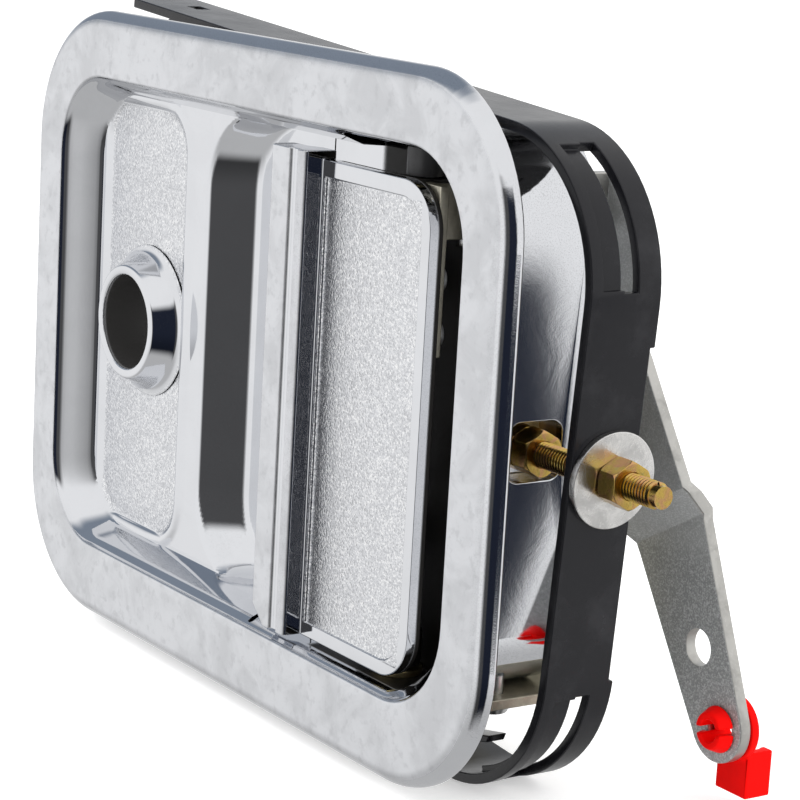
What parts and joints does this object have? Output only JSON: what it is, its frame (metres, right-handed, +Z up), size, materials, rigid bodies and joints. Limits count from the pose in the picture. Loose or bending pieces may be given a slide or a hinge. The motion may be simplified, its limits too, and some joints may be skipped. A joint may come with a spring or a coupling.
{
  "type": "recessed paddle door handle",
  "caption": "Recessed vehicle door handle: chrome bezel with lock boss and finger pocket, sprung pull paddle on a vertical pin, rear clamp ring on side studs and a release lever with rod clip.",
  "frame": {"origin": "middle of the bezel opening, on the plane of the door's outer skin where the gasket seats", "axes": "+X to the right seen from outside the door, +Y into the door, +Z up"},
  "size_m": [0.202, 0.0635, 0.1355],
  "materials": {
    "bezel_chrome": "satin and polished chrome plate",
    "paddle_chrome": "polished chrome plate with a grained panel",
    "gasket_rubber": "matt",
    "ring_black": "gloss black coat",
    "stud_yellow_zinc": "yellow zinc plate",
    "nut_yellow_zinc": "yellow zinc plate",
    "washer_steel": "bright zinc plate",
    "bracket_zinc": "pale zinc plate",
    "screw_steel": "bright zinc plate",
    "pin_steel": "ground",
    "bush_brass": "plain",
    "spacer_dark": "phosphated",
    "clip_steel": "oiled",
    "spring_steel": "plain",
    "lever_zinc": "grained grey zinc plate",
    "clip_red": "moulded"
  },
  "bodies": {
    "housing": {"bezel_housing": "bezel_chrome", "flange_gasket": "gasket_rubber", "retainer_ring": "ring_black", "ring_studs": "stud_yellow_zinc", "stud_jam_nuts": "nut_yellow_zinc", "ring_washers": "washer_steel", "ring_nuts": "nut_yellow_zinc", "rear_bracket": "bracket_zinc", "bracket_screws": "screw_steel", "pivot_pin": "pin_steel", "pin_bushes": "bush_brass", "pin_spacer": "spacer_dark", "pin_clip": "clip_steel", "paddle_spring": "spring_steel", "paddle_bumpers": "gasket_rubber", "lever_pivot": "screw_steel", "lever_spacer": "bush_brass", "lever_washer": "washer_steel", "lever_clip": "clip_steel"},
    "paddle": {"paddle": "paddle_chrome", "drive_arm": "bracket_zinc", "drive_rivets": "screw_steel"},
    "lever": {"release_lever": "lever_zinc"},
    "clip": {"rod_clip": "clip_red"}
  },
  "joints": [
    {"name": "paddle_pull", "type": "hinge", "parent": "housing", "child": "paddle", "pos_m": [0.047, 0.0055, 0], "axis": [0, 0, 1], "range_deg": [0, 30], "stiffness_Nm_per_rad": 0.4, "springref_deg": -20.05, "deforming": ["paddle_spring"]},
    {"name": "lever_swing", "type": "hinge", "parent": "housing", "child": "lever", "pos_m": [0.057, 0.0443, 0.004], "axis": [0, 1, 0], "range_deg": [-19.5, 0]},
    {"name": "clip_swivel", "type": "hinge", "parent": "lever", "child": "clip", "pos_m": [0.09115, 0.04875, -0.0539], "axis": [0, 1, 0], "range_deg": [-30, 30]}
  ],
  "couplings": [
    {"joint": "lever_swing", "follows": "paddle_pull", "ratio": -0.64}
  ]
}
